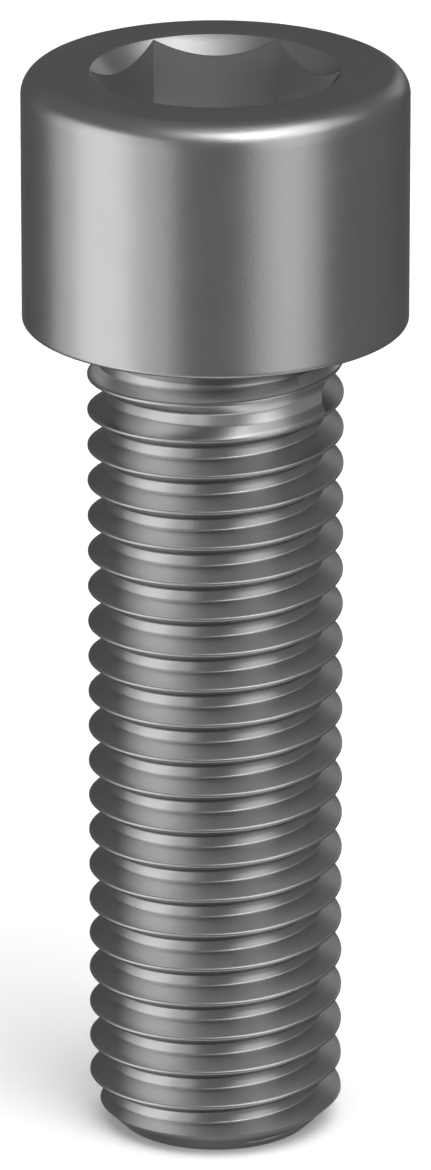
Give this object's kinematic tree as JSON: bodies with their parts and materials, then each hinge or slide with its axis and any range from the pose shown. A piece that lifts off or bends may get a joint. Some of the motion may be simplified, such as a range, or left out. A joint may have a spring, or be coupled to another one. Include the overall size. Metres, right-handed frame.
{
  "type": "socket head cap screw",
  "caption": "Socket head cap screw with a cylindrical head, a hexagon socket, a coarse metric thread up to the head and a chamfered tip.",
  "frame": {"origin": "centre of the bearing face, the ring under the head, on the screw's axis", "axes": "+Z along the screw's axis, from the tip to the head; the screw stands on its flat tip, at z = -40 mm, as in the picture; -Y is the screw's front, which the picture's camera looks at, square to one flat of the socket; +X is the picture's right"},
  "size_m": [0.018, 0.018, 0.052],
  "materials": {
    "steel": "dark grey alloy steel as forged and rolled, heat treated and oiled, satin with soft reflections, not plated"
  },
  "bodies": {
    "root": {"cap_screw": "steel"}
  },
  "joints": []
}
